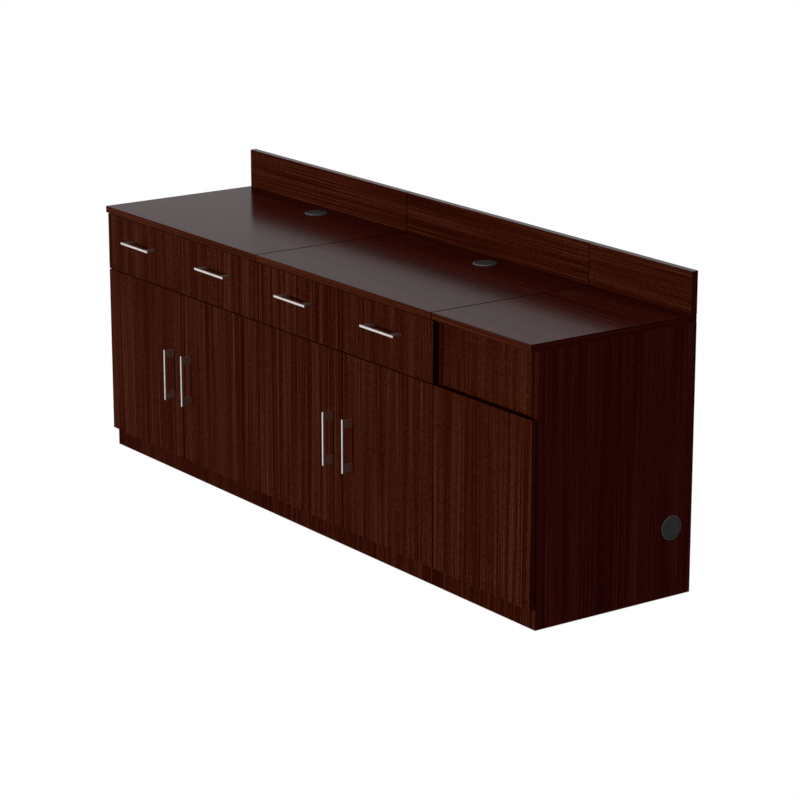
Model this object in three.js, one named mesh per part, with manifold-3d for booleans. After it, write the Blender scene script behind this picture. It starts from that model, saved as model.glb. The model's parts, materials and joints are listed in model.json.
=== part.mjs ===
// Office credenza: two wide drawer-over-door cabinets and a narrow waste cabinet in one run.
// Millimetres, +Z up, front towards -Y, floor at Z = 0.
import * as THREE from "three";
import { mergeVertices } from "three/addons/utils/BufferGeometryUtils.js";
import Module from "manifold-3d";

const wasm = await Module();
wasm.setup();

// Overall sizes
const inch = 25.4;
const wideCabinet = 36 * inch;
const narrowCabinet = 18 * inch;
const runWidth = 2 * wideCabinet + narrowCabinet;
const worktopDepth = 597;
const worktopTop = 829;
const worktopThick = 22;
const worktopSeam = 3;
const splashTop = 956;
const splashThick = 22;

// Boards and clearances
const panelThick = 19;
const frontThick = 18;
const backThick = 6;
const seatGap = 0.2; // between boards that rest on each other
const cabinetGap = 0.5; // each cabinet's side stands this far inside its own width
const frontGap = 2; // bumper gap behind doors and drawer fronts
const reveal = 3; // between neighbouring fronts
const carcassSetback = 27; // worktop edge to the front of the carcass

// Heights on the front
const kickHeight = 62;
const kickPlay = 2.3; // at each end of a kick board
const doorTop = 614;
const drawerBottom = doorTop + reveal;
const drawerTop = 803;
const deckTop = kickHeight + panelThick;
const drawerDeckTop = 615;
const drawerDeckBottom = drawerDeckTop - panelThick;
const shelfTop = 348;
const shelfSetback = 40;
const shelfPlay = 1; // at each end of a shelf

// Bar pulls
const pullLength = 168;
const pullBar = 7;
const pullReach = 38; // front of the bar to the face that carries it
const pullPost = 25; // along the bar
const pullInset = 3; // bar end past the post
const doorPullFromEdge = 50;
const doorPullHeight = 339;
const drawerPullHeight = 731;

// Drawers and their slides
const drawerBoxDepth = 420;
const drawerBoxBottom = 626;
const drawerBoxTop = 772;
const drawerWall = 15;
const drawerFloor = 9;
const dividerDepth = 445;
const slideSpace = 13.5; // between the box and what carries the slide
const slideWidth = 10;
const slideHeight = 45;
const slideLength = 400;
const slideMiddle = 668;
const slideSetback = 4;
const slideSheet = 1.5;
const slideTieHeight = 20;
const slideTieThick = 3;
const slideTieGap = 2; // behind the divider

// Concealed hinges, cabinet half
const hingeFromDoorEnd = 85;
const hingePlate = [2.5, 20, 52];
const hingeArm = [12, 62, 14];
const hingeStrip = [1, 8];
const hingeSetback = 3;
const hingePlateFromArmEnd = 8;
const hingeStripFromArm = 10;

// Waste cabinet flap
const flapGap = 4.5;
const flapTop = 802;
const flapBottom = 617;
const flapPivotHeight = 788;
const flapPinRadius = 4;
const flapBoreRadius = 4.4;
const flapPinDepth = 7;
const flapBoreDepth = 7.5;
const railDepth = 70;

// Cable grommets
const grommetFlange = 36.5;
const grommetSleeve = 31.2;
const grommetHole = 31.8;
const grommetProud = 3.5;
const grommetDepth = 18;
const grommetWall = 2;
const topGrommetOffset = 52; // right of the cabinet's middle, clear of the drawer divider
const topGrommetFromBack = 97;
const sideGrommetFromBack = 77;
const sideGrommetHeight = 209;

// Derived places. Inside a cabinet's group X = 0 is its left end and Y = 0 its back.
const carcassDepth = worktopDepth - carcassSetback;
const carcassFront = -carcassDepth;
const frontBack = carcassFront - frontGap;
const frontFace = frontBack - frontThick;
const carcassTop = worktopTop - worktopThick - seatGap;
const insideBack = -backThick - seatGap;
const pullFront = frontFace - seatGap - pullReach;
const runLeft = -(runWidth + grommetProud) / 2;
const runBack = -pullFront / 2;

const finishes = {
  front: { color: 0x37170e, roughness: 0.5, metalness: 0 },
  carcass: { color: 0x2a0f0a, roughness: 0.55, metalness: 0 },
  worktop: { color: 0x3d1b12, roughness: 0.4, metalness: 0 },
  drawerBox: { color: 0x40241a, roughness: 0.6, metalness: 0 },
  pull: { color: 0xb9b5b2, roughness: 0.3, metalness: 1 },
  steel: { color: 0x9a9c9e, roughness: 0.35, metalness: 1 },
  grommet: { color: 0x2b2d2d, roughness: 0.45, metalness: 0 },
};

function named(name, finish, geometry) {
  const mesh = new THREE.Mesh(geometry, new THREE.MeshStandardMaterial(finishes[finish]));
  mesh.name = name;
  return mesh;
}

function block([x0, x1], [y0, y1], [z0, z1]) {
  const geometry = new THREE.BoxGeometry(x1 - x0, y1 - y0, z1 - z0);
  return geometry.translate((x0 + x1) / 2, (y0 + y1) / 2, (z0 + z1) / 2);
}

function toSolid(geometry) {
  const bare = geometry.clone();
  bare.deleteAttribute("normal");
  bare.deleteAttribute("uv");
  const merged = mergeVertices(bare, 1e-4);
  const vertProperties = merged.attributes.position.array;
  const triVerts = new Uint32Array(merged.index.array);
  return new wasm.Manifold(new wasm.Mesh({ numProp: 3, vertProperties, triVerts }));
}

function toGeometry(solid) {
  const mesh = solid.getMesh();
  const geometry = new THREE.BufferGeometry();
  geometry.setAttribute("position", new THREE.BufferAttribute(mesh.vertProperties, 3));
  geometry.setIndex(new THREE.BufferAttribute(mesh.triVerts, 1));
  geometry.computeVertexNormals();
  return geometry;
}

function joined(geometries) {
  return toGeometry(geometries.map(toSolid).reduce((whole, piece) => whole.add(piece)));
}

function cut(geometry, tools) {
  return toGeometry(tools.map(toSolid).reduce((whole, tool) => whole.subtract(tool), toSolid(geometry)));
}

// A round bar along X.
function roundBar(radius, [x0, x1], y, z) {
  const geometry = new THREE.CylinderGeometry(radius, radius, x1 - x0, 20).rotateZ(Math.PI / 2);
  return geometry.translate((x0 + x1) / 2, y, z);
}

function outline(points) {
  return new THREE.Shape(points.map(([x, y]) => new THREE.Vector2(x, y)));
}

function roundHole(x, y) {
  return new THREE.Path().absarc(x, y, grommetHole, 0, 2 * Math.PI, true);
}

function extruded(shape, depth) {
  return new THREE.ExtrudeGeometry(shape, { depth, bevelEnabled: false, curveSegments: 16 });
}

// A board cut from an outline in Y and Z, from x0 to x1.
function sideBoard(shape, [x0, x1]) {
  return extruded(shape, x1 - x0).rotateX(Math.PI / 2).rotateZ(Math.PI / 2).translate(x0, 0, 0);
}

// Side panels run to the floor. The right end panel has a grommet hole, and the flap's pins need a bore.
function sidePanel(name, x, { grommet = false, bore = null } = {}) {
  const shape = outline([[carcassFront, carcassTop], [carcassFront, 0], [0, 0], [0, carcassTop]]);
  if (grommet) shape.holes.push(roundHole(-sideGrommetFromBack, sideGrommetHeight));
  const board = sideBoard(shape, x);
  return named(name, "carcass", bore ? cut(board, [bore]) : board);
}

// The kick board stands between the side panels, flush with their front edges.
function kickBoard(name, wall) {
  const x = [wall.between[0] + kickPlay, wall.between[1] - kickPlay];
  const y = [carcassFront, carcassFront + panelThick];
  return named(name, "front", block(x, y, [0, kickHeight - seatGap]));
}

function worktop(name, [x0, x1], grommetX) {
  const shape = outline([[x0, -worktopDepth], [x1, -worktopDepth], [x1, 0], [x0, 0]]);
  if (grommetX) shape.holes.push(roundHole(grommetX, -topGrommetFromBack));
  const geometry = extruded(shape, worktopThick).translate(0, 0, worktopTop - worktopThick);
  return named(name, "worktop", geometry);
}

function splash(name, x) {
  return named(name, "worktop", block(x, [-splashThick, 0], [worktopTop + seatGap, splashTop]));
}

// A capped cable grommet about +Z, with Z = 0 on the face that it sits in.
function grommetCap() {
  const profile = [
    [0, 1.2],
    [grommetSleeve - grommetWall, 1.2],
    [grommetSleeve - grommetWall, -grommetDepth],
    [grommetSleeve, -grommetDepth],
    [grommetSleeve, seatGap],
    [grommetFlange, seatGap],
    [grommetFlange, 1.4],
    [grommetFlange - 3, grommetProud],
    [grommetFlange - 8, grommetProud],
    [grommetFlange - 9, grommetProud - 0.7],
    [0, grommetProud - 0.7],
  ];
  const points = profile.map(([r, z]) => new THREE.Vector2(r, z));
  return new THREE.LatheGeometry(points, 32).rotateX(Math.PI / 2);
}

// A bar pull along X, its feet on Y = 0 and its bar towards -Y.
function pullGeometry() {
  const half = pullLength / 2;
  const post = half - pullInset;
  const under = pullReach - pullBar;
  const shape = outline([
    [-half, pullReach], [-half, under], [-post, under], [-post, 0],
    [-post + pullPost, 0], [-post + pullPost, under], [post - pullPost, under], [post - pullPost, 0],
    [post, 0], [post, under], [half, under], [half, pullReach],
  ]);
  return extruded(shape, pullBar).translate(0, 0, -pullBar / 2).rotateX(Math.PI);
}

function pull(name, x, z, upright) {
  const mesh = named(name, "pull", pullGeometry());
  mesh.position.set(x, frontFace - seatGap, z);
  if (upright) mesh.rotation.y = Math.PI / 2;
  return mesh;
}

function front(name, x, z) {
  return named(name, "front", block(x, [frontFace, frontBack], z));
}

function drawerBox(name, [x0, x1]) {
  const y0 = frontBack + seatGap;
  const y1 = y0 + drawerBoxDepth;
  const outer = block([x0, x1], [y0, y1], [drawerBoxBottom, drawerBoxTop]);
  const inner = block(
    [x0 + drawerWall, x1 - drawerWall],
    [y0 + drawerWall, y1 - drawerWall],
    [drawerBoxBottom + drawerFloor, drawerBoxTop + 1],
  );
  return named(name, "drawerBox", cut(outer, [inner]));
}

// The fixed channels of a cabinet's drawer slides, held together by a tie behind the divider.
function drawerSlides(name, faces) {
  const low = slideMiddle - slideHeight / 2;
  const high = slideMiddle + slideHeight / 2;
  const start = carcassFront + slideSetback;
  const tieEnd = carcassFront + dividerDepth + slideTieGap + slideTieThick;
  const tie = [slideMiddle - slideTieHeight / 2, slideMiddle + slideTieHeight / 2];
  const pieces = faces.flatMap(([face, side]) => {
    const near = face + side * seatGap;
    const span = (a, b) => [near + side * a, near + side * b].sort((p, q) => p - q);
    return [
      block(span(0, slideSheet), [start, start + slideLength], [low, high]),
      block(span(0, slideWidth), [start, start + slideLength], [low, low + slideSheet]),
      block(span(0, slideWidth), [start, start + slideLength], [high - slideSheet, high]),
      block(span(0, slideSheet), [start, tieEnd], tie),
    ];
  });
  const ends = [faces[0][0] + seatGap, faces[faces.length - 1][0] - seatGap];
  pieces.push(block(ends, [tieEnd - slideTieThick, tieEnd], tie));
  return named(name, "steel", joined(pieces));
}

// Two hinge plates with their arms on one side panel's inner face, on a common strip.
function hingePair(name, face, side) {
  const near = face + side * seatGap;
  const span = (depth) => [near, near + side * depth].sort((p, q) => p - q);
  const armStart = carcassFront + hingeSetback;
  const plateStart = armStart + hingeArm[1] - hingePlate[1] - hingePlateFromArmEnd;
  const heights = [kickHeight + hingeFromDoorEnd, doorTop - hingeFromDoorEnd];
  const around = (z, size) => [z - size / 2, z + size / 2];
  const pieces = heights.flatMap((z) => [
    block(span(hingePlate[0]), [plateStart, plateStart + hingePlate[1]], around(z, hingePlate[2])),
    block(span(hingeArm[0]), [armStart, armStart + hingeArm[1]], around(z, hingeArm[2])),
  ]);
  const stripStart = armStart + hingeStripFromArm;
  pieces.push(block(span(hingeStrip[0]), [stripStart, stripStart + hingeStrip[1]], heights));
  return named(name, "steel", joined(pieces));
}

// Side panels stand a little inside the cabinet's width, except at the ends of the run.
function sideWalls(width, ends) {
  const left = cabinetGap + panelThick;
  const right = width - left;
  return {
    left: [ends.left ? 0 : cabinetGap, left],
    right: [right, ends.right ? width : width - cabinetGap],
    between: [left + seatGap, right - seatGap],
  };
}

function carcassBoard(name, x, z, y = [carcassFront, insideBack]) {
  return named(name, "carcass", block(x, y, z));
}

function topPieces(name, width, ends, grommetX) {
  const x = [ends.left ? 0 : worktopSeam / 2, width - (ends.right ? 0 : worktopSeam / 2)];
  return [worktop(`${name}_worktop`, x, grommetX), splash(`${name}_splash`, x)];
}

function wideDrawers(name, width, wall) {
  const middle = width / 2;
  const divider = [middle - panelThick / 2, middle + panelThick / 2];
  const places = {
    left: { front: [reveal / 2, middle - reveal / 2], space: [wall.left[1], divider[0]] },
    right: { front: [middle + reveal / 2, width - reveal / 2], space: [divider[1], wall.right[0]] },
  };
  const drawers = Object.entries(places).flatMap(([side, place]) => [
    front(`${name}_drawer_front_${side}`, place.front, [drawerBottom, drawerTop]),
    drawerBox(`${name}_drawer_box_${side}`, [place.space[0] + slideSpace, place.space[1] - slideSpace]),
    pull(`${name}_drawer_pull_${side}`, (place.front[0] + place.front[1]) / 2, drawerPullHeight, false),
  ]);
  const dividerY = [carcassFront, carcassFront + dividerDepth];
  const slideFaces = [[wall.left[1], 1], [divider[0], -1], [divider[1], 1], [wall.right[0], -1]];
  return [
    carcassBoard(`${name}_drawer_divider`, divider, [drawerDeckTop + seatGap, carcassTop], dividerY),
    drawerSlides(`${name}_drawer_slides`, slideFaces),
    ...drawers,
  ];
}

function wideDoors(name, width, wall) {
  const middle = width / 2;
  const z = [kickHeight, doorTop];
  const pullOffset = reveal / 2 + doorPullFromEdge;
  return [
    front(`${name}_door_left`, [reveal / 2, middle - reveal / 2], z),
    front(`${name}_door_right`, [middle + reveal / 2, width - reveal / 2], z),
    pull(`${name}_door_pull_left`, middle - pullOffset, doorPullHeight, true),
    pull(`${name}_door_pull_right`, middle + pullOffset, doorPullHeight, true),
    hingePair(`${name}_hinges_left`, wall.left[1], 1),
    hingePair(`${name}_hinges_right`, wall.right[0], -1),
  ];
}

function wideCarcass(name, wall) {
  const inner = wall.between;
  const shelfX = [inner[0] + shelfPlay, inner[1] - shelfPlay];
  const shelfY = [carcassFront + shelfSetback, insideBack];
  return [
    sidePanel(`${name}_side_left`, wall.left),
    sidePanel(`${name}_side_right`, wall.right),
    carcassBoard(`${name}_deck`, inner, [kickHeight, deckTop]),
    carcassBoard(`${name}_drawer_deck`, inner, [drawerDeckBottom, drawerDeckTop]),
    carcassBoard(`${name}_shelf`, shelfX, [shelfTop - panelThick, shelfTop], shelfY),
    carcassBoard(`${name}_back`, inner, [kickHeight, carcassTop], [-backThick, 0]),
    kickBoard(`${name}_kick`, wall),
  ];
}

function wideCabinetGroup(name, ends) {
  const group = new THREE.Group();
  const wall = sideWalls(wideCabinet, ends);
  const grommetX = wideCabinet / 2 + topGrommetOffset;
  const grommet = named(`${name}_grommet`, "grommet", grommetCap());
  grommet.position.set(grommetX, -topGrommetFromBack, worktopTop);
  group.add(
    ...wideCarcass(name, wall),
    ...topPieces(name, wideCabinet, ends, grommetX),
    ...wideDrawers(name, wideCabinet, wall),
    ...wideDoors(name, wideCabinet, wall),
    grommet,
  );
  return group;
}

// The flap hangs between the side panels on two pins and swings inwards.
function wasteFlap(name, wall) {
  const x = [wall.left[1] + flapGap, wall.right[0] - flapGap];
  const board = block(x, [carcassFront, carcassFront + frontThick], [flapBottom, flapTop]);
  const pins = roundBar(
    flapPinRadius,
    [wall.left[1] - flapPinDepth, wall.right[0] + flapPinDepth],
    carcassFront + frontThick / 2,
    flapPivotHeight,
  );
  return named(name, "front", joined([board, pins]));
}

function flapBore([x0, x1]) {
  return roundBar(flapBoreRadius, [x0, x1], carcassFront + frontThick / 2, flapPivotHeight);
}

function wasteCarcass(name, wall) {
  const inner = wall.between;
  const leftBore = flapBore([wall.left[1] - flapBoreDepth, wall.left[1] + 1]);
  const rightBore = flapBore([wall.right[0] - 1, wall.right[0] + flapBoreDepth]);
  const railY = [carcassFront, carcassFront + railDepth];
  return [
    sidePanel(`${name}_side_left`, wall.left, { bore: leftBore }),
    sidePanel(`${name}_side_right`, wall.right, { grommet: true, bore: rightBore }),
    carcassBoard(`${name}_deck`, inner, [kickHeight, deckTop]),
    carcassBoard(`${name}_rail`, inner, [drawerDeckBottom, drawerDeckTop], railY),
    carcassBoard(`${name}_back`, inner, [kickHeight, carcassTop], [-backThick, 0]),
    kickBoard(`${name}_kick`, wall),
  ];
}

function wasteCabinetGroup(name, ends) {
  const group = new THREE.Group();
  const wall = sideWalls(narrowCabinet, ends);
  const grommet = named(`${name}_grommet`, "grommet", grommetCap());
  grommet.position.set(narrowCabinet, -sideGrommetFromBack, sideGrommetHeight);
  grommet.rotation.y = Math.PI / 2;
  group.add(
    ...wasteCarcass(name, wall),
    ...topPieces(name, narrowCabinet, ends),
    wasteFlap(`${name}_flap`, wall),
    front(`${name}_door`, [reveal / 2, narrowCabinet], [kickHeight, doorTop]),
    hingePair(`${name}_hinges`, wall.right[0], -1),
    grommet,
  );
  return group;
}

const credenza = new THREE.Group();
const cabinets = [
  [wideCabinetGroup("left", { left: true }), 0],
  [wideCabinetGroup("middle", {}), wideCabinet],
  [wasteCabinetGroup("waste", { right: true }), 2 * wideCabinet],
];
for (const [group, offset] of cabinets) {
  group.position.set(runLeft + offset, runBack, 0);
  credenza.add(group);
}

export default credenza;
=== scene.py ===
# Looks of an office credenza: two wide cabinets and a waste cabinet in one run.
# Metres, +Z up, front towards -Y, floor at Z = 0.
import json
import math
from random import Random

import bmesh
import bpy
from mathutils import Matrix, Vector


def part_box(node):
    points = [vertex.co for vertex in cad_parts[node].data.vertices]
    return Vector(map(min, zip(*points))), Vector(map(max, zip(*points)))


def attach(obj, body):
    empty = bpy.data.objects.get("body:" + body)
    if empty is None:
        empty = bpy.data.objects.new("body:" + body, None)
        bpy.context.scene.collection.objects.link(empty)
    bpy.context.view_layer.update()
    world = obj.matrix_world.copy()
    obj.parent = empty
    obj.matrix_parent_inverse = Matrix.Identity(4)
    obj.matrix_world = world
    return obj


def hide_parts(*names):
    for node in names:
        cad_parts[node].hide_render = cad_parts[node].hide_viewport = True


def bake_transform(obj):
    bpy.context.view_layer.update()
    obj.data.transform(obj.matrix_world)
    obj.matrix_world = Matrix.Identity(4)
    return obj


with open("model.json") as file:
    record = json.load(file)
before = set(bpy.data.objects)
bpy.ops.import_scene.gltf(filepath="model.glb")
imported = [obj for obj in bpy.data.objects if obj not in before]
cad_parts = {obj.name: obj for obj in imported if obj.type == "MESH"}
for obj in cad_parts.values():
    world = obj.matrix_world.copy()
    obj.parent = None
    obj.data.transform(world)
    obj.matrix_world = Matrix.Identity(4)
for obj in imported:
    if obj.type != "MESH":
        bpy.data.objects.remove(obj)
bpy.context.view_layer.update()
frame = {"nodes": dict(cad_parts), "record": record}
nodes = frame["nodes"]
behaviour = frame["record"]["behaviour"]
bodyOf = {node: body for body, members in behaviour["bodies"].items() for node in members}
slotOf = {part["node"]: part["material_slot"] for part in frame["record"]["subparts"]}
mm = 0.001
wideCabinets = ("left", "middle")
sides = ("left", "right")
alongRun, inwards, upright = range(3)  # the axes X, Y and Z
restGap = 0.2 * mm  # between parts that rest on each other
outward = (0, 1, 0)  # out of the back of a door, a drawer front or the back panel
print("frame loaded:", len(nodes), "nodes")


# Camera

cameraSetup = {
    "place": (7.1399, -5.0338, 2.8002),
    "azimuth": 54.2836,  # degrees to the right of the front
    "elevation": 15.5432,
    "lens": 130.891,
    "sensor": 36,
    "farthest": 300,
}


def makeCamera():
    data = bpy.data.cameras.new("photoCamera")
    data.lens = cameraSetup["lens"]
    data.sensor_width = cameraSetup["sensor"]
    data.clip_end = cameraSetup["farthest"]
    camera = bpy.data.objects.new("photoCamera", data)
    azimuth = math.radians(cameraSetup["azimuth"])
    elevation = math.radians(cameraSetup["elevation"])
    level = math.cos(elevation)
    towards = Vector((-math.sin(azimuth) * level, math.cos(azimuth) * level, -math.sin(elevation)))
    camera.location = cameraSetup["place"]
    camera.rotation_euler = towards.to_track_quat("-Z", "Y").to_euler()
    bpy.context.scene.collection.objects.link(camera)
    bpy.context.scene.camera = camera


# Node helpers

def addNode(tree, kind, **settings):
    made = tree.nodes.new(kind)
    for key, value in settings.items():
        setattr(made, key, value)
    return made


def feed(tree, socket, value):
    if isinstance(value, bpy.types.NodeSocket):
        tree.links.new(value, socket)
    else:
        socket.default_value = value


def calc(tree, operation, *values):
    made = addNode(tree, "ShaderNodeMath", operation=operation)
    for socket, value in zip(made.inputs, values):
        feed(tree, socket, value)
    return made.outputs[0]


def mixColour(tree, factor, first, second):
    # a Mix node has sockets of every kind, and these are its factor and colours
    made = addNode(tree, "ShaderNodeMix", data_type="RGBA")
    for index, value in ((0, factor), (6, first), (7, second)):
        feed(tree, made.inputs[index], value)
    return made.outputs[2]


def spread(tree, value, fromMin, fromMax, toMin=0.0, toMax=1.0):
    made = addNode(tree, "ShaderNodeMapRange")
    for socket, given in zip(made.inputs, (value, fromMin, fromMax, toMin, toMax)):
        feed(tree, socket, given)
    return made.outputs[0]


def roundNoise(tree, where, scale, detail):
    noise = addNode(tree, "ShaderNodeTexNoise")
    feed(tree, noise.inputs["Vector"], where)
    noise.inputs["Scale"].default_value = scale
    noise.inputs["Detail"].default_value = detail
    return noise.outputs[0]


def stretchedNoise(tree, along, across, figure):
    alongScale, acrossScale, detail, roughness = figure
    where = addNode(tree, "ShaderNodeCombineXYZ")
    feed(tree, where.inputs[0], calc(tree, "MULTIPLY", along, alongScale))
    feed(tree, where.inputs[1], calc(tree, "MULTIPLY", across, acrossScale))
    noise = addNode(tree, "ShaderNodeTexNoise", noise_dimensions="2D")
    feed(tree, noise.inputs["Vector"], where.outputs[0])
    for key, value in (("Scale", 1.0), ("Detail", detail), ("Roughness", roughness)):
        noise.inputs[key].default_value = value
    return noise.outputs[0]


def newGroup(name, inputs, outputs):
    group = bpy.data.node_groups.new(name, "ShaderNodeTree")
    for label, kind in inputs:
        group.interface.new_socket(label, in_out="INPUT", socket_type="NodeSocket" + kind)
    for label, kind in outputs:
        group.interface.new_socket(label, in_out="OUTPUT", socket_type="NodeSocket" + kind)
    return group, addNode(group, "NodeGroupInput"), addNode(group, "NodeGroupOutput")


def splitPlace(group, enter):
    # the ways along and across the grain, from the group's Place
    split = addNode(group, "ShaderNodeSeparateXYZ")
    feed(group, split.inputs[0], enter.outputs["Place"])
    return split.outputs[0], split.outputs[1]


# Shared effects
# A figure is the noise's cells in a metre along and across the grain, its detail and its roughness.

woodGrain = {
    "waver": (2.2, 9.0, 2.0, 0.5), "waverReach": 0.008,
    "bands": (0.4, 22.0, 3.0, 0.6), "bandShare": 0.20,
    "streaks": (1.1, 330.0, 2.0, 0.5), "streakShare": 0.52,
    "fibres": (85.0, 420.0, 2.0, 0.5), "fibreShare": 0.28, "fibreHeight": 0.6,
    "pores": (26.0, 1300.0, 1.0, 0.5), "poreRange": (0.60, 0.70), "poreShare": 0.45, "poreDepth": 0.5,
    "darkToMiddle": (0.36, 0.52), "middleToLight": (0.50, 0.645),
}


def makeGrainGroup():
    look = woodGrain
    tones = ("Dark", "Middle", "Light")
    inputs = [("Place", "Vector"), *((name, "Color") for name in tones), ("Coarseness", "Float")]
    outputs = [("Colour", "Color"), ("Height", "Float"), ("Fibre", "Float")]
    group, enter, leave = newGroup("laminateGrain", inputs, outputs)
    dark, middle, light = (enter.outputs[name] for name in tones)
    along, across = splitPlace(group, enter)
    across = calc(group, "DIVIDE", across, enter.outputs["Coarseness"])
    waver = stretchedNoise(group, along, across, look["waver"])
    across = calc(group, "ADD", across, calc(group, "MULTIPLY", waver, look["waverReach"]))
    layers = ("bands", "streaks", "fibres", "pores")
    bands, streaks, fibres, pores = (stretchedNoise(group, along, across, look[name]) for name in layers)
    tone = calc(group, "MULTIPLY", bands, look["bandShare"])
    tone = calc(group, "MULTIPLY_ADD", streaks, look["streakShare"], tone)
    tone = calc(group, "MULTIPLY_ADD", fibres, look["fibreShare"], tone)
    colour = mixColour(group, spread(group, tone, *look["darkToMiddle"]), dark, middle)
    colour = mixColour(group, spread(group, tone, *look["middleToLight"]), colour, light)
    pore = spread(group, pores, *look["poreRange"])
    colour = mixColour(group, calc(group, "MULTIPLY", pore, look["poreShare"]), colour, dark)
    raised = calc(group, "MULTIPLY", fibres, look["fibreHeight"])
    height = calc(group, "SUBTRACT", raised, calc(group, "MULTIPLY", pore, look["poreDepth"]))
    for label, value in (("Colour", colour), ("Height", height), ("Fibre", fibres)):
        feed(group, leave.inputs[label], value)
    return group


# a lighter colour in patches on the boards' rounded edges: partly wear and partly a painted highlight where
# an edge catches the light
edgeWearAndHighlight = {"scale": 14, "detail": 4, "rubbedAndLit": (0.38, 0.66), "amount": 0.4}


def makeWearAndHighlightGroup():
    inputs = [("Colour", "Color"), ("Worn Colour", "Color"), ("Place", "Vector"), ("Amount", "Float")]
    group, enter, leave = newGroup("edgeWearAndHighlight", inputs, [("Colour", "Color")])
    edge = addNode(group, "ShaderNodeAttribute", attribute_name="wornAndLit")
    patches = roundNoise(group, enter.outputs["Place"], edgeWearAndHighlight["scale"], edgeWearAndHighlight["detail"])
    rubbedAndLit = calc(group, "MULTIPLY", edge.outputs["Fac"], spread(group, patches, *edgeWearAndHighlight["rubbedAndLit"]))
    mask = calc(group, "MULTIPLY", rubbedAndLit, enter.outputs["Amount"])
    colour = mixColour(group, mask, enter.outputs["Colour"], enter.outputs["Worn Colour"])
    feed(group, leave.inputs["Colour"], colour)
    return group


brushing = {"Lines": (40.0, 5200.0, 3.0, 0.6), "Patches": (30.0, 60.0, 3.0, 0.5)}


def makeBrushGroup():
    outputs = [(label, "Float") for label in brushing]
    group, enter, leave = newGroup("brushedMetal", [("Place", "Vector")], outputs)
    along, across = splitPlace(group, enter)
    for label, figure in brushing.items():
        feed(group, leave.inputs[label], stretchedNoise(group, along, across, figure))
    return group


moulding = {"Speckle": (1500.0, 2.0), "Dust": (45.0, 4.0)}  # scale and detail


def makeMouldGroup():
    outputs = [(label, "Float") for label in moulding]
    group, enter, leave = newGroup("mouldedGrain", [("Place", "Vector")], outputs)
    for label, (scale, detail) in moulding.items():
        feed(group, leave.inputs[label], roundNoise(group, enter.outputs["Place"], scale, detail))
    return group


grainGroup = makeGrainGroup()
wearAndHighlightGroup = makeWearAndHighlightGroup()
brushGroup = makeBrushGroup()
mouldGroup = makeMouldGroup()


# Materials

noiseMiddle = (0.3, 0.7)  # the stretch of a noise that roughness follows


def newMaterial(name):
    material = bpy.data.materials.new(name)
    material.use_nodes = True
    tree = material.node_tree
    return material, tree, tree.nodes["Principled BSDF"]


def useGroup(tree, group, **values):
    made = addNode(tree, "ShaderNodeGroup", node_tree=group)
    for label, value in values.items():
        feed(tree, made.inputs[label.replace("_", " ")], value)
    return made


def grainPlace(tree):
    return addNode(tree, "ShaderNodeUVMap", uv_map="grain").outputs[0]


def roughen(tree, shader, noise, roughness):
    feed(tree, shader.inputs["Roughness"], spread(tree, noise, *noiseMiddle, *roughness))


def bumpFrom(tree, shader, height, strength, distance):
    bump = addNode(tree, "ShaderNodeBump")
    bump.inputs["Strength"].default_value = strength
    bump.inputs["Distance"].default_value = distance
    feed(tree, bump.inputs["Height"], height)
    feed(tree, shader.inputs["Normal"], bump.outputs[0])


def opaque(colour):
    return (*colour, 1)


laminateRelief = 0.4 * mm
plainFace = {
    "coarseness": 1.0, "gloss": 0.004, "roughness": (0.50, 0.62), "bump": 0.06,
    "wornAndLit": (0.055, 0.016, 0.008),
}
plainBand = {**plainFace, "coarseness": 0.8, "bump": 0.04}
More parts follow.
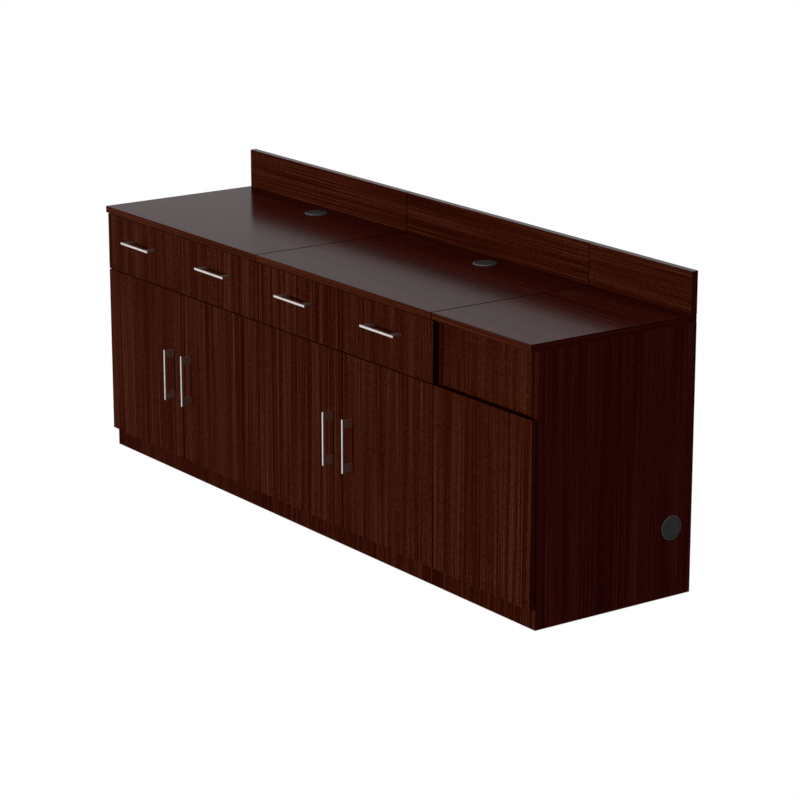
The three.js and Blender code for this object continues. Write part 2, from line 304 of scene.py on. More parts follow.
# tones are the dark, middle and light of the grain
laminates = {
    "frontLaminate": {
        **plainFace,
        "tones": ((0.0131, 0.0011, 0.0004), (0.0358, 0.0040, 0.0012), (0.0790, 0.0250, 0.0118)),
    },
    "carcassLaminate": {
        **plainFace, "gloss": 0.02, "wornAndLit": (0.060, 0.018, 0.010),
        "tones": ((0.0190, 0.0006, 0.0003), (0.0425, 0.0019, 0.0010), (0.0740, 0.0100, 0.0060)),
    },
    # the fronts' laminate made darker, painted shade under the doors' overhang
    "shadedKickLaminate": {
        **plainFace, "wornAndLit": (0.050, 0.014, 0.007),
        "tones": ((0.0108, 0.0008, 0.0003), (0.0295, 0.0026, 0.0007), (0.0650, 0.0168, 0.0071)),
    },
    # the carcass edge band without the painted shade, for the lit front edge of the waste cabinet's right
    # panel
    "postBand": {
        **plainBand,
        "tones": ((0.0170, 0.0016, 0.0007), (0.0390, 0.0052, 0.0020), (0.0790, 0.0230, 0.0110)),
    },
    # the carcass edge bands, darkened with painted shade, as the front edge of the waste cabinet's left
    # panel lies in shade beside the drawer fronts
    "shadedCarcassBand": {
        **plainBand,
        "tones": ((0.0095, 0.0006, 0.0003), (0.0215, 0.0018, 0.0006), (0.0430, 0.0085, 0.0034)),
    },
    # a very dark edge band with painted shade: the fronts' edges in recesses, such as the waste door's top
    # under the flap and the drawers' ends beside it, are painted as if in shade
    "shadedFrontBand": {
        **plainBand, "wornAndLit": (0.055, 0.014, 0.008),
        "tones": ((0.0050, 0.0004, 0.0002), (0.0130, 0.0010, 0.0006), (0.0250, 0.0030, 0.0018)),
    },
    "doorBand": {
        **plainBand, "gloss": 0.006, "wornAndLit": (0.055, 0.014, 0.008),
        "tones": ((0.0120, 0.0010, 0.0005), (0.0330, 0.0026, 0.0015), (0.0640, 0.0078, 0.0045)),
    },
    # a nearly black band, painted shade on the rounded rims where one worktop or splash meets the next
    "seamShadeBand": {
        **plainBand, "gloss": 0.002, "roughness": (0.55, 0.65), "bump": 0.02, "wornAndLit": (0.030, 0.008, 0.005),
        "tones": ((0.0020, 0.0003, 0.0002), (0.0050, 0.0006, 0.0004), (0.0100, 0.0015, 0.0010)),
    },
    "worktopLaminate": {
        "coarseness": 1.2, "gloss": 0.0165, "roughness": (0.13, 0.22), "bump": 0.04,
        "wornAndLit": (0.050, 0.016, 0.010),
        "tones": ((0.0270, 0.0019, 0.0010), (0.0500, 0.0048, 0.0026), (0.0800, 0.0165, 0.0100)),
    },
    "splashLaminate": {
        **plainFace, "coarseness": 0.62, "gloss": 0.003, "bump": 0.05, "wornAndLit": (0.060, 0.018, 0.009),
        "tones": ((0.0118, 0.0010, 0.0004), (0.0340, 0.0042, 0.0012), (0.0900, 0.0235, 0.0118)),
    },
    "edgeBand": {
        **plainBand, "gloss": 0.008, "roughness": (0.48, 0.60), "wornAndLit": (0.070, 0.022, 0.011),
        "tones": ((0.0210, 0.0024, 0.0008), (0.0440, 0.0070, 0.0024), (0.0860, 0.0225, 0.0095)),
    },
    "endBand": {
        **plainBand, "gloss": 0.008, "wornAndLit": (0.055, 0.012, 0.007),
        "tones": ((0.0120, 0.0008, 0.0004), (0.0336, 0.0026, 0.0016), (0.0672, 0.0072, 0.0044)),
    },
    "capBand": {
        **plainBand, "gloss": 0.07, "roughness": (0.24, 0.30), "bump": 0.01, "wornAndLit": (0.070, 0.022, 0.011),
        "tones": ((0.0200, 0.0025, 0.0010), (0.0400, 0.0060, 0.0024), (0.0620, 0.0140, 0.0065)),
    },
    "drawerLaminate": {
        "coarseness": 0.9, "gloss": 0.10, "roughness": (0.52, 0.68), "bump": 0.06,
        "wornAndLit": (0.110, 0.052, 0.032),
        "tones": ((0.0220, 0.0060, 0.0032), (0.0500, 0.0175, 0.0095), (0.0850, 0.0360, 0.0200)),
    },
}


def makeLaminate(name, look):
    material, tree, shader = newMaterial(name)
    where = grainPlace(tree)
    dark, middle, light = (opaque(tone) for tone in look["tones"])
    grain = useGroup(tree, grainGroup, Place=where, Dark=dark, Middle=middle, Light=light,
                     Coarseness=look["coarseness"])
    # the rounded edges take the lighter colour, which is part wear and part painted highlight
    wearAndLight = useGroup(tree, wearAndHighlightGroup, Colour=grain.outputs["Colour"], Worn_Colour=opaque(look["wornAndLit"]),
                    Place=where, Amount=edgeWearAndHighlight["amount"])
    feed(tree, shader.inputs["Base Color"], wearAndLight.outputs["Colour"])
    roughen(tree, shader, grain.outputs["Fibre"], look["roughness"])
    shader.inputs["Specular IOR Level"].default_value = look["gloss"]
    bumpFrom(tree, shader, grain.outputs["Height"], look["bump"], laminateRelief)
    return material


metalRelief = 0.1 * mm
dullRange = (0.35, 0.7)
metals = {
    "satinNickel": {
        "colour": (0.74, 0.69, 0.67), "dull": (0.64, 0.58, 0.55), "roughness": (0.32, 0.42), "bump": 0.05,
    },
    "zincSteel": {
        "colour": (0.62, 0.63, 0.65), "dull": (0.44, 0.45, 0.46), "roughness": (0.28, 0.44), "bump": 0.04,
    },
}


def makeMetal(name, look):
    material, tree, shader = newMaterial(name)
    brush = useGroup(tree, brushGroup, Place=grainPlace(tree))
    shade = spread(tree, brush.outputs["Patches"], *dullRange)
    colour = mixColour(tree, shade, opaque(look["colour"]), opaque(look["dull"]))
    feed(tree, shader.inputs["Base Color"], colour)
    shader.inputs["Metallic"].default_value = 1
    roughen(tree, shader, brush.outputs["Lines"], look["roughness"])
    bumpFrom(tree, shader, brush.outputs["Lines"], look["bump"], metalRelief)
    return material


plasticRelief = 0.1 * mm
plasticBump = 0.08
dustRange = (0.45, 0.72)
plastics = {
    "grommetPlastic": {
        "colour": (0.041, 0.042, 0.042), "dusty": (0.054, 0.055, 0.054),
        "roughness": (0.36, 0.50), "gloss": 0.06,
    },
    # a lighter copy of the grommet plastic, a painted highlight on the flange's outer rim
    "grommetRim": {
        "colour": (0.092, 0.095, 0.095), "dusty": (0.11, 0.11, 0.11),
        "roughness": (0.36, 0.50), "gloss": 0.06,
    },
    "blackPlastic": {
        "colour": (0.012, 0.012, 0.013), "dusty": (0.03, 0.03, 0.03),
        "roughness": (0.40, 0.56), "gloss": 0.4,
    },
    "clearBumper": {
        "colour": (0.42, 0.41, 0.38), "dusty": (0.32, 0.31, 0.29),
        "roughness": (0.30, 0.45), "gloss": 0.5,
    },
}


def makePlastic(name, look):
    material, tree, shader = newMaterial(name)
    mould = useGroup(tree, mouldGroup, Place=grainPlace(tree))
    dust = spread(tree, mould.outputs["Dust"], *dustRange)
    colour = mixColour(tree, dust, opaque(look["colour"]), opaque(look["dusty"]))
    feed(tree, shader.inputs["Base Color"], colour)
    roughen(tree, shader, mould.outputs["Speckle"], look["roughness"])
    shader.inputs["Specular IOR Level"].default_value = look["gloss"]
    bumpFrom(tree, shader, mould.outputs["Speckle"], plasticBump, plasticRelief)
    return material


finishes = {name: makeLaminate(name, look) for name, look in laminates.items()}
finishes.update({name: makeMetal(name, look) for name, look in metals.items()})
finishes.update({name: makePlastic(name, look) for name, look in plastics.items()})
print("materials made:", len(finishes))


# Mesh helpers

meshing = {
    "sheet": 40,  # metres of sheet that each piece's grain is cut from
    "softAbove": 40,  # degrees between faces whose edge is rounded
    "sharpAbove": 50,  # degrees between faces that are shaded apart
}


def flatAxis(normal):
    return max(range(3), key=lambda axis: abs(normal[axis]))


def layGrain(bm, grainAxis, seed):
    # U runs along the grain and V across it, in metres, from a place of its own for each piece
    layer = bm.loops.layers.uv.new("grain")
    draw = Random(seed)
    shift = Vector((draw.uniform(0, meshing["sheet"]), draw.uniform(0, meshing["sheet"])))
    reach = [max((v.co[axis] for v in bm.verts)) - min((v.co[axis] for v in bm.verts)) for axis in range(3)]
    for face in bm.faces:
        across = flatAxis(face.normal)
        others = [axis for axis in range(3) if axis != across]
        along = grainAxis if grainAxis != across else max(others, key=lambda axis: reach[axis])
        side = next(axis for axis in others if axis != along)
        for loop in face.loops:
            loop[layer].uv = shift + Vector((loop.vert.co[along], loop.vert.co[side]))


def softenEdges(bm, width, segments):
    # marks the rounded faces for the lighter edge colour of wear and painted highlight
    wornAndLit = bm.loops.layers.float.get("wornAndLit") or bm.loops.layers.float.new("wornAndLit")
    bm.normal_update()
    limit = math.radians(meshing["softAbove"])
    sharp = [edge for edge in bm.edges if len(edge.link_faces) == 2 and edge.calc_face_angle(0) > limit]
    made = bmesh.ops.bevel(bm, geom=sharp, offset=width, offset_type="OFFSET", segments=segments,
                           profile=0.5, affect="EDGES", clamp_overlap=True)
    for face in made["faces"]:
        for loop in face.loops:
            loop[wornAndLit] = 1.0


def place(name, bm, body, materials):
    mesh = bpy.data.meshes.new(name)
    bm.normal_update()
    bm.to_mesh(mesh)
    bm.free()
    for material in materials:
        mesh.materials.append(finishes[material])
    mesh.shade_smooth()
    mesh.set_sharp_from_angle(angle=math.radians(meshing["sharpAbove"]))
    piece = bpy.data.objects.new(name, mesh)
    bpy.context.scene.collection.objects.link(piece)
    # keeps flat faces flat beside their rounded edges
    even = piece.modifiers.new("evenShading", "WEIGHTED_NORMAL")
    even.keep_sharp = True
    if body:  # a blended piece has none of its own
        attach(piece, body)
    return piece


def placeSteel(name, bm, body):
    return place(name, bm, body, ["zincSteel"])


def tidyNormals(bm, seed):
    bmesh.ops.recalc_face_normals(bm, faces=bm.faces)
    bm.normal_update()
    layGrain(bm, inwards, seed)


def joinTo(bm, part, matrix=None):
    if matrix is not None:
        bmesh.ops.transform(part, matrix=matrix, verts=part.verts)
    scratch = bpy.data.meshes.new("scratch")
    part.to_mesh(scratch)
    part.free()
    bm.from_mesh(scratch)
    bpy.data.meshes.remove(scratch)


def addBlock(bm, low, high, soft=0.0, segments=2):
    size = Vector(high) - Vector(low)
    middle = (Vector(high) + Vector(low)) / 2
    part = bmesh.new()
    bmesh.ops.create_cube(part, size=1.0, matrix=Matrix.Translation(middle) @ Matrix.Diagonal((*size, 1)))
    if soft:
        softenEdges(part, soft, segments)
    joinTo(bm, part)


def turned(rows, steps, crossRows=(), crossNarrow=1.0):
    # rows of (radius, height) turned about Z, either from the axis and back to it or round a closed ring
    # crossRows are pulled in between four arms, as the recess of a screw is
    part = bmesh.new()
    rings = []
    for index, (radius, height) in enumerate(rows):
        if radius == 0:
            rings.append([part.verts.new((0, 0, height))])
            continue
        ring = []
        for step in range(steps):
            between = index in crossRows and step % (steps // 4) > 1
            reach = radius * crossNarrow if between else radius
            turn = 2 * math.pi * step / steps - math.pi / steps
            ring.append(part.verts.new((reach * math.cos(turn), reach * math.sin(turn), height)))
        rings.append(ring)
    closed = rows[0][0] != 0
    pairs = list(zip(rings, rings[1:])) + ([(rings[-1], rings[0])] if closed else [])
    for first, second in pairs:
        for step in range(steps):
            after = (step + 1) % steps
            loop = [first[step % len(first)], first[after % len(first)]]
            loop += [second[after % len(second)], second[step % len(second)]]
            corners = list(dict.fromkeys(loop))
            if len(corners) > 2:
                part.faces.new(corners)
    bmesh.ops.recalc_face_normals(part, faces=part.faces)
    return part


def aim(position, direction):
    # places a part made about +Z so that +Z points along direction
    return Matrix.Translation(position) @ Vector(direction).to_track_quat("Z", "Y").to_matrix().to_4x4()


def outlinePart(points, depth, soft, segments):
    # a flat outline in X and Y, from Z = 0 up to depth
    part = bmesh.new()
    face = part.faces.new([part.verts.new((x, y, 0)) for x, y in points])
    made = bmesh.ops.extrude_face_region(part, geom=[face])
    lifted = [item for item in made["geom"] if isinstance(item, bmesh.types.BMVert)]
    bmesh.ops.translate(part, verts=lifted, vec=(0, 0, depth))
    bmesh.ops.recalc_face_normals(part, faces=part.faces)
    softenEdges(part, soft, segments)
    return part


def roundedOutline(width, height, radius, steps=5):
    x, y = width / 2 - radius, height / 2 - radius
    points = []
    for quarter, (cornerX, cornerY) in enumerate(((x, y), (-x, y), (-x, -y), (x, -y))):
        for step in range(steps + 1):
            angle = math.pi / 2 * (quarter + step / steps)
            points.append((cornerX + radius * math.cos(angle), cornerY + radius * math.sin(angle)))
    return points


screw = {
    "radius": 4.0 * mm, "rise": 1.7 * mm, "recess": 1.1 * mm, "steps": 16,
    "dome": ((0.56, 1.0), (0.72, 0.96), (0.92, 0.62), (1.0, 0.12), (1.0, 0.0)),  # shares of radius and rise
    "recessShare": 0.42, "crossRows": (1, 2), "crossNarrow": 0.35,
}


def addScrew(bm, position, direction, scale=1.0):
    radius, rise, recess = (screw[key] * scale for key in ("radius", "rise", "recess"))
    floor = rise - recess
    dome = [(out * radius, up * rise) for out, up in screw["dome"]]
    rows = [(0, floor), (screw["recessShare"] * radius, floor), *dome, (0, 0)]
    part = turned(rows, screw["steps"], screw["crossRows"], screw["crossNarrow"])
    joinTo(bm, part, aim(position, direction))


def addScrews(name, spots, body):
    bm = bmesh.new()
    for spot in spots:
        addScrew(bm, spot, outward)
    layGrain(bm, upright, name)
    placeSteel(name, bm, body)


# Boards

board = {
    "weld": 0.02 * mm,
    "flat": 1.0,  # degrees between faces that are merged
    "soft": 0.5 * mm, "topSoft": 1.7 * mm, "segments": 2,
}
# boards whose grain runs along the run, where the others' runs upright
lyingBoards = ("worktop", "splash", "deck", "drawer_deck", "shelf", "rail")
# the ends where a cabinet's worktop and splash meet the next ones
seamSides = {"left": (1,), "middle": (-1, 1), "waste": (-1,)}
seamSlope = {"least": 0.2, "most": 0.98}  # how far a rim's face turns towards the seam
# faces, edge bands, bands on the ends of the run and seams, for a slot, a kind of board or one board; the
# front, carcass and seam bands and the kick's laminate carry painted shade
boardFaces = {
    "front_laminate": ["frontLaminate", "shadedFrontBand", "shadedFrontBand"],
    "door": ["frontLaminate", "shadedFrontBand", "doorBand"],
    "carcass_laminate": ["carcassLaminate", "shadedCarcassBand", "endBand"],
    "worktop_laminate": ["worktopLaminate", "edgeBand", "endBand", "seamShadeBand"],
    "splash": ["splashLaminate", "capBand", "endBand", "seamShadeBand"],
    "kick": ["shadedKickLaminate", "shadedFrontBand", "shadedFrontBand"],
    "waste_side_right": ["carcassLaminate", "postBand", "endBand"],
}


def boardMesh(node):
    bm = bmesh.new()
    bm.from_mesh(nodes[node].data)
    bmesh.ops.remove_doubles(bm, verts=bm.verts, dist=board["weld"])
    bmesh.ops.dissolve_limit(bm, angle_limit=math.radians(board["flat"]), verts=bm.verts, edges=bm.edges)
    return bm


def paintEdges(bm, thin):
    # the faces across the board's thickness are its edge bands, with another one on the ends of the run
    for face in bm.faces:
        across = flatAxis(face.normal)
        face.material_index = 0 if across == thin else 2 if across == alongRun else 1


def paintSeams(bm, thin, ends):
    # the rounded rims where one worktop or splash meets the next, which get the seam band's painted shade
    wide = inwards + upright - thin
    for face in bm.faces:
        atSeam = any(seamSlope["least"] < end * face.normal.x < seamSlope["most"] for end in ends)
        if atSeam and abs(face.normal[wide]) < seamSlope["least"]:
            face.material_index = 3


def addBoard(node):
    cabinet, kind = node.split("_", 1)
    bm = boardMesh(node)
    softenEdges(bm, board["topSoft"] if kind == "worktop" else board["soft"], board["segments"])
    low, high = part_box(node)
    thin = min(range(3), key=lambda axis: high[axis] - low[axis])
    bm.normal_update()
    paintEdges(bm, thin)
    if kind in ("worktop", "splash"):
        paintSeams(bm, thin, seamSides[cabinet])
    layGrain(bm, alongRun if kind in lyingBoards else upright, node)
    faces = next(boardFaces[key] for key in (node, kind, slotOf[node]) if key in boardFaces)
    piece = place(node + "_board", bm, bodyOf[node], faces)
    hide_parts(node)


def addBoards():
    found = [node for node, slot in slotOf.items() if slot in boardFaces and node != "waste_flap"]
    for node in found:
        addBoard(node)
    print("boards made:", len(found))


flap = {"pinRadius": 4.0 * mm, "pinRoot": 2 * mm, "pinSoft": 0.6 * mm, "pinSteps": 24}


def flapEnds():
    # the flap's own left and right ends, which are short of its pins' ends
    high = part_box("waste_flap")[1]
    top = [v.co.x for v in nodes["waste_flap"].data.vertices if abs(v.co.z - high.z) < board["weld"]]
    return min(top), max(top)


def addFlap():
    low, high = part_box("waste_flap")
    left, right = flapEnds()
    bm = bmesh.new()
    addBlock(bm, (left, low.y, low.z), (right, high.y, high.z), board["soft"])
    bm.normal_update()
    paintEdges(bm, inwards)
    layGrain(bm, upright, "waste_flap")
    piece = place("waste_flap_board", bm, "waste_flap", boardFaces["front_laminate"])
    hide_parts("waste_flap")


def addFlapPins():
    low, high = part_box("waste_flap")
    left, right = flapEnds()
    rim = [v.co for v in nodes["waste_flap"].data.vertices if abs(v.co.x - low.x) < board["weld"]]
    middle = sum(rim, Vector()) / len(rim)
    radius, root, soft = (flap[key] for key in ("pinRadius", "pinRoot", "pinSoft"))
    bm = bmesh.new()
    for start, end, turn in ((left, low.x, -1), (right, high.x, 1)):
        reach = abs(end - start)
        rows = [(0, -root), (radius, -root), (radius, reach - soft), (radius - soft, reach), (0, reach)]
        joinTo(bm, turned(rows, flap["pinSteps"]), aim(Vector((start, middle.y, middle.z)), (turn, 0, 0)))
    tidyNormals(bm, "flapPins")
    placeSteel("waste_flap_pins", bm, "waste_flap")


# Pulls

pull = {"soft": 1.1 * mm, "segments": 3, "screwReach": 68.5 * mm}


def addPulls():
    found = [node for node, slot in slotOf.items() if slot == "satin_metal"]
    for node in found:
        bm = boardMesh(node)
        softenEdges(bm, pull["soft"], pull["segments"])
        low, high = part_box(node)
        layGrain(bm, max((alongRun, upright), key=lambda axis: high[axis] - low[axis]), node)
        piece = place(node + "_bar", bm, bodyOf[node], ["satinNickel"])
        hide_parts(node)
    print("pulls made:", len(found))


def addPullScrews(name, pullNode, along, back, body):
    # two screws into the pull's feet, from behind at back
    start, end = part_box(pullNode)
    middle = (start + end) / 2
    reach = Vector(along) * pull["screwReach"]
    spots = [Vector((middle.x, back, middle.z)) + turn * reach for turn in (-1, 1)]
    addScrews(name, spots, body)


# Cable grommets

grommet = {
    "flange": 36.5 * mm, "sleeve": 31.2 * mm, "bore": 29.2 * mm, "depth": 18 * mm, "proud": 3.5 * mm,
    # insets and heights round the flange's and the seat's rims
    "flangeSide": 2.0 * mm, "flangeTop": 1.8 * mm,
    "flangeRound": ((0.4 * mm, 2.7 * mm), (1.0 * mm, 3.2 * mm)),
    "seatFloor": 0.4 * mm, "seatTop": 1.3 * mm,
    "seatRound": ((0.6 * mm, 3.2 * mm), (0.4 * mm, 2.6 * mm)),
    "cap": 29.6 * mm, "capTop": 2.9 * mm, "capThick": 2.2 * mm, "capSoft": (0.8 * mm, 0.2 * mm),
    # rim is the width of the flange's outer edge that carries the painted highlight
    "rim": 1.5 * mm, "steps": 72,
}


def grommetRing():
    # the sleeve in the board, the flange on it and the seat of the cap, as one closed ring
    flange, sleeve, bore, cap, depth, proud = (
        grommet[key] for key in ("flange", "sleeve", "bore", "cap", "depth", "proud"))
    floor = grommet["seatFloor"]
    outer = [(flange - inset, height) for inset, height in grommet["flangeRound"]]
    inner = [(cap + inset, height) for inset, height in grommet["seatRound"]]
    rows = [
        (bore, -depth), (sleeve, -depth), (sleeve, restGap), (flange, restGap),
        (flange, grommet["flangeSide"]), *outer, (flange - grommet["flangeTop"], proud),
        (cap + grommet["seatTop"], proud), *inner, (inner[-1][0], floor), (bore, floor),
    ]
    ring = turned(rows, grommet["steps"])
    # the faces on the flange's outer rim get the second material, a painted highlight
    for face in ring.faces:
        middle = face.calc_center_median()
        face.material_index = int(middle.xy.length > flange - grommet["rim"] and middle.z > restGap)
    return ring


def grommetCap():
    cap, top = grommet["cap"], grommet["capTop"]
    low = top - grommet["capThick"]
    wide, narrow = grommet["capSoft"]
    rows = [
        (0, top), (cap - wide, top), (cap - narrow, top - narrow), (cap, top - wide),
        (cap, low), (0, low),
    ]
    return turned(rows, grommet["steps"])


def addGrommets():
    finish = ["grommetPlastic", "grommetRim"]
    normals = {"left": Vector((0, 0, 1)), "middle": Vector((0, 0, 1)), "waste": Vector((1, 0, 0))}
    for cabinet, normal in normals.items():
        node = cabinet + "_grommet"
        low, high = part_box(node)
        middle = (low + high) / 2
        axis = flatAxis(normal)
        middle[axis] = high[axis] - grommet["proud"]
        for label, part in (("ring", grommetRing()), ("cap", grommetCap())):
            bm = bmesh.new()
            joinTo(bm, part, aim(middle, normal))
            layGrain(bm, inwards, node + label)
            piece = place(f"{node}_{label}", bm, "cabinet", finish)
            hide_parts(node)
    print("grommets made:", len(normals))


# Drawer boxes

drawer = {"wall": 15 * mm, "floor": 9 * mm, "soft": 0.6 * mm}


def addDrawerBox(node, pullNode):
    low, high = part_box(node)
    wall, floor, soft = drawer["wall"], drawer["floor"], drawer["soft"]
    bm = bmesh.new()
    for x in (low.x, high.x - wall):
        addBlock(bm, (x, low.y, low.z), (x + wall, high.y, high.z), soft)
    for y in (low.y, high.y - wall):
        addBlock(bm, (low.x + wall, y, low.z), (high.x - wall, y + wall, high.z), soft)
    addBlock(bm, (low.x + wall, low.y + wall, low.z), (high.x - wall, high.y - wall, low.z + floor))
    bm.normal_update()
    layGrain(bm, inwards, node)
    piece = place(node + "_boards", bm, bodyOf[node], ["drawerLaminate"])
    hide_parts(node)
    addPullScrews(node + "_screws", pullNode, (1, 0, 0), low.y + wall, bodyOf[node])


# Drawer slides: a fixed channel, one on the drawer and one between them that goes half as far

slide = {
    "length": 400 * mm, "height": 668 * mm, "soft": 0.25 * mm, "segments": 1,
    "screws": (37 * mm, 165 * mm, 325 * mm), "screwScale": 0.75,
    "fixed": {"web": 0.2 * mm, "rim": 10.0 * mm, "half": 22.5 * mm, "sheet": 1.4 * mm, "lip": 3.6 * mm},
    "middle": {"web": 4.2 * mm, "rim": 10.6 * mm, "half": 17.6 * mm, "sheet": 1.2 * mm, "lip": 3.0 * mm},
    "drawer": {"web": 13.3 * mm, "rim": 6.6 * mm, "half": 12.4 * mm, "sheet": 1.2 * mm, "lip": 2.4 * mm},
    "blend": 50,  # a long way, so that the middle channel takes half of the travel all over
}


def channelOutline(shape):
    # a lipped channel in X and Y, with its web on one side and its open rim on the other
    web, rim, half, lip, sheet = (shape[key] for key in ("web", "rim", "half", "lip", "sheet"))
    deep = math.copysign(sheet, rim - web)
    lower = [
        (web, -half), (rim, -half), (rim, lip - half),
        (rim - deep, lip - half), (rim - deep, sheet - half), (web + deep, sheet - half),
    ]
    return lower + [(x, -y) for x, y in reversed(lower)]


def slideChannel(bm, shape, face, turn, start):
    part = outlinePart(channelOutline(shape), slide["length"], slide["soft"], slide["segments"])
    matrix = Matrix(((turn, 0, 0, face), (0, 0, 1, start), (0, 1, 0, slide["height"]), (0, 0, 0, 1)))
    joinTo(bm, part, matrix)


def addSlides(cabinet):
    node = cabinet + "_drawer_slides"
    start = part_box(node)[0].y
    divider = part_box(cabinet + "_drawer_divider")
    faces = [
        (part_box(cabinet + "_side_left")[1].x, 1, "left"), (divider[0].x, -1, "left"),
        (divider[1].x, 1, "right"), (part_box(cabinet + "_side_right")[0].x, -1, "right"),
    ]
    web = slide["fixed"]["web"] + slide["fixed"]["sheet"]
    fixed = bmesh.new()
    moving = {(kind, side): bmesh.new() for kind in ("middle", "drawer") for side in sides}
    for face, turn, side in faces:
        slideChannel(fixed, slide["fixed"], face, turn, start)
        for along in slide["screws"]:
            spot = Vector((face + turn * web, start + along, slide["height"]))
            addScrew(fixed, spot, (turn, 0, 0), slide["screwScale"])
        for kind in ("middle", "drawer"):
            slideChannel(moving[kind, side], slide[kind], face, turn, start)
    tidyNormals(fixed, node)
    piece = placeSteel(node + "_fixed", fixed, "cabinet")
    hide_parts(node)
    for (kind, side), bm in moving.items():
        body = f"{cabinet}_drawer_{side}"
        tidyNormals(bm, body + kind)
        piece = placeSteel(f"{body}_slide_{kind}", bm, body if kind == "drawer" else None)
        if kind == "middle":
            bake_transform(piece)


# Concealed hinges

hinge = {
    "fromEnd": 85 * mm, "fromEdge": 22 * mm,
    "cup": {
        "radius": 17.4 * mm, "depth": 11.4 * mm, "wall": 1.0 * mm, "floor": 0.8 * mm, "soft": 0.4 * mm,
        "rim": 19 * mm, "flange": 0.9 * mm, "lift": 0.1 * mm, "steps": 48,
    },
    "hole": {"round": 0.1 * mm, "under": 0.2 * mm, "over": 5 * mm},  # room that the door leaves about a cup
    "wing": {
        "wide": 13 * mm, "high": 12 * mm, "shift": 8 * mm, "soft": 0.3 * mm,
        "screw": 22 * mm, "screwSunk": 0.6 * mm, "screwScale": 0.7,
    },
    "plate": {
        "thick": 2.5 * mm, "long": 20 * mm, "high": 52 * mm, "corner": 5 * mm, "fromArmEnd": 8 * mm,
        "soft": 0.5 * mm, "segments": 2, "screw": 18 * mm, "screwScale": 0.85,
    },
    "arm": {
        "top": 12 * mm, "long": 62 * mm, "high": 14 * mm, "corner": 4 * mm, "fromFront": 3 * mm,
        "soft": 1.6 * mm, "segments": 3, "screws": (-10 * mm, 16 * mm), "screwScale": 0.8,
    },
    "link": {
        "thick": 3.2 * mm, "high": 9 * mm, "lift": 7.2 * mm, "steps": 22,
        "inArm": 9 * mm, "inCup": 8 * mm, "blend": 4 * mm,
    },
}


def cupSpots(door, turn):
    # middles of a door's two hinge cups, on its back
    low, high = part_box(door)
    x = low.x + hinge["fromEdge"] if turn > 0 else high.x - hinge["fromEdge"]
    return [Vector((x, high.y, z)) for z in (low.z + hinge["fromEnd"], high.z - hinge["fromEnd"])]


def hingeArm(bm, face, turn, front, z):
    # the plate on the side panel with the arm over it, both made about +Z and turned away from the panel
    plate, arm = hinge["plate"], hinge["arm"]
    armMiddle = front + arm["fromFront"] + arm["long"] / 2
    plateMiddle = armMiddle + arm["long"] / 2 - plate["fromArmEnd"] - plate["long"] / 2

    def stand(y, lift):
        return Matrix(((0, 0, turn, face + turn * lift), (1, 0, 0, y), (0, 1, 0, z), (0, 0, 0, 1)))

    thick = plate["thick"]
    outline = roundedOutline(plate["long"], plate["high"], plate["corner"])
    part = outlinePart(outline, thick - restGap, plate["soft"], plate["segments"])
    joinTo(bm, part, stand(plateMiddle, restGap))
    outline = roundedOutline(arm["long"], arm["high"], arm["corner"])
    part = outlinePart(outline, arm["top"] - thick, arm["soft"], arm["segments"])
    joinTo(bm, part, stand(armMiddle, thick))
    for end in (-1, 1):
        spot = Vector((face + turn * thick, plateMiddle, z + end * plate["screw"]))
        addScrew(bm, spot, (turn, 0, 0), plate["screwScale"])
    for along in arm["screws"]:
        spot = Vector((face + turn * arm["top"], armMiddle + along, z))
        addScrew(bm, spot, (turn, 0, 0), arm["screwScale"])


def hingeCup(bm, spot, turn):
    # a cup with its rim on the door's back, and the two wings that are screwed down beside it
    cup, wing = hinge["cup"], hinge["wing"]
    radius, rim, top, deep, soft = (cup[key] for key in ("radius", "rim", "flange", "depth", "soft"))
    inner = radius - cup["wall"]
    floor = cup["floor"] - deep
    rows = [
        (0, floor), (inner - cup["floor"], floor), (inner, floor + cup["floor"]), (inner, top - soft),
        (inner + soft, top), (rim - soft, top), (rim, top - soft), (rim, cup["lift"]),
        (radius, cup["lift"]), (radius, -deep), (0, -deep),
    ]
    joinTo(bm, turned(rows, cup["steps"]), aim(spot, outward))
    middle = spot + Vector((turn * (wing["shift"] + rim / 2), 0, 0))
    size = Vector((wing["wide"], top - 2 * cup["lift"], wing["high"]))
    for end in (-1, 1):
        low = middle + Vector((-wing["wide"] / 2, cup["lift"], end * wing["screw"] - wing["high"] / 2))
        addBlock(bm, low, low + size, wing["soft"])
        sunk = middle + Vector((0, top - wing["screwSunk"], end * wing["screw"]))
        addScrew(bm, sunk, outward, wing["screwScale"])


def hingeLink(face, turn, cupX, front, z):
    # a strap from the arm into the cup, in short steps so that it bends as the door opens
    link = hinge["link"]
    near = Vector((face + turn * link["lift"], front + link["inArm"], z))
    far = Vector((cupX, front - link["inCup"], z))
    corners = [Vector((x * link["thick"] / 2, 0, up * link["high"] / 2))
               for x, up in ((-1, -1), (1, -1), (1, 1), (-1, 1))]
    bm = bmesh.new()
    rings = []
    for step in range(link["steps"] + 1):
        middle = near.lerp(far, step / link["steps"])
        rings.append([bm.verts.new(middle + corner) for corner in corners])
    for ring, after in zip(rings, rings[1:]):
        for step in range(4):
            bm.faces.new((ring[step], ring[step - 1], after[step - 1], after[step]))
    bm.faces.new(rings[0])
    bm.faces.new(rings[-1])
    return bm


